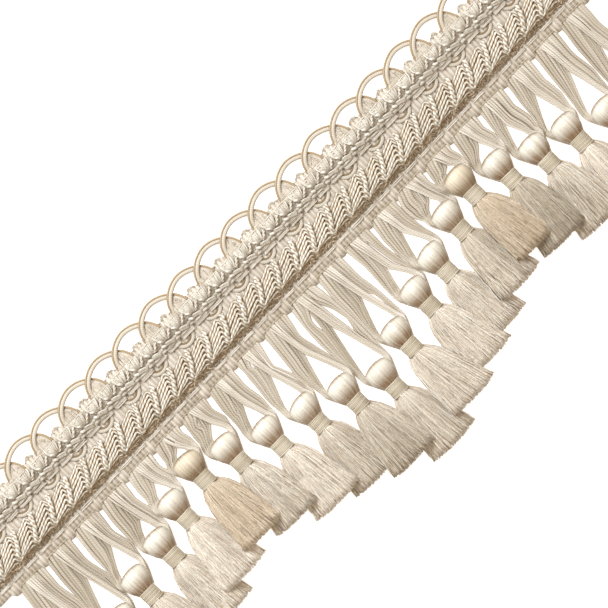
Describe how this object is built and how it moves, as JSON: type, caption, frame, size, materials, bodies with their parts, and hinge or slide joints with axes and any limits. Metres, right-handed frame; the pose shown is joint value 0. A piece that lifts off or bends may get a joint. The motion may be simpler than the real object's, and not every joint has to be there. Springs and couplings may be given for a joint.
{
  "type": "scalloped tassel fringe",
  "caption": "Cut length of ivory furnishing trim with looped gimps, chain and plaited braids and a scalloped row of tassels on crossed cords.",
  "frame": {"origin": "centre of the length of the heading tape, on its back face, about midway across the tape", "axes": "+X along the trim, +Y across it from the tassels towards the gimp loops, +Z out of its face"},
  "size_m": [0.382, 0.1401, 0.0108],
  "materials": {
    "tape_weave": "matt ribbed weave",
    "wrapped_gimp": "thread-wrapped, slight lustre",
    "chain_yarn": "soft twisted yarn",
    "plait_yarn": "plied yarn, slight lustre",
    "ivory_tassel": "satin viscose yarn",
    "tan_tassel": "satin viscose yarn"
  },
  "bodies": {
    "root": {"heading_tape": "tape_weave", "loop_gimp_1": "wrapped_gimp", "loop_gimp_2": "wrapped_gimp", "chain_braid": "chain_yarn", "plaited_braid": "plait_yarn", "tassel_01": "ivory_tassel", "tassel_02": "ivory_tassel", "tassel_03": "ivory_tassel", "tassel_04": "ivory_tassel", "tassel_05": "ivory_tassel", "tassel_06": "tan_tassel", "tassel_07": "ivory_tassel", "tassel_08": "ivory_tassel", "tassel_09": "ivory_tassel", "tassel_10": "ivory_tassel", "tassel_11": "ivory_tassel", "tassel_12": "ivory_tassel", "tassel_13": "ivory_tassel", "tassel_14": "ivory_tassel", "tassel_15": "ivory_tassel", "tassel_16": "tan_tassel", "tassel_17": "ivory_tassel", "tassel_18": "ivory_tassel", "tassel_19": "ivory_tassel", "tassel_20": "ivory_tassel", "tassel_21": "ivory_tassel"}
  },
  "joints": []
}
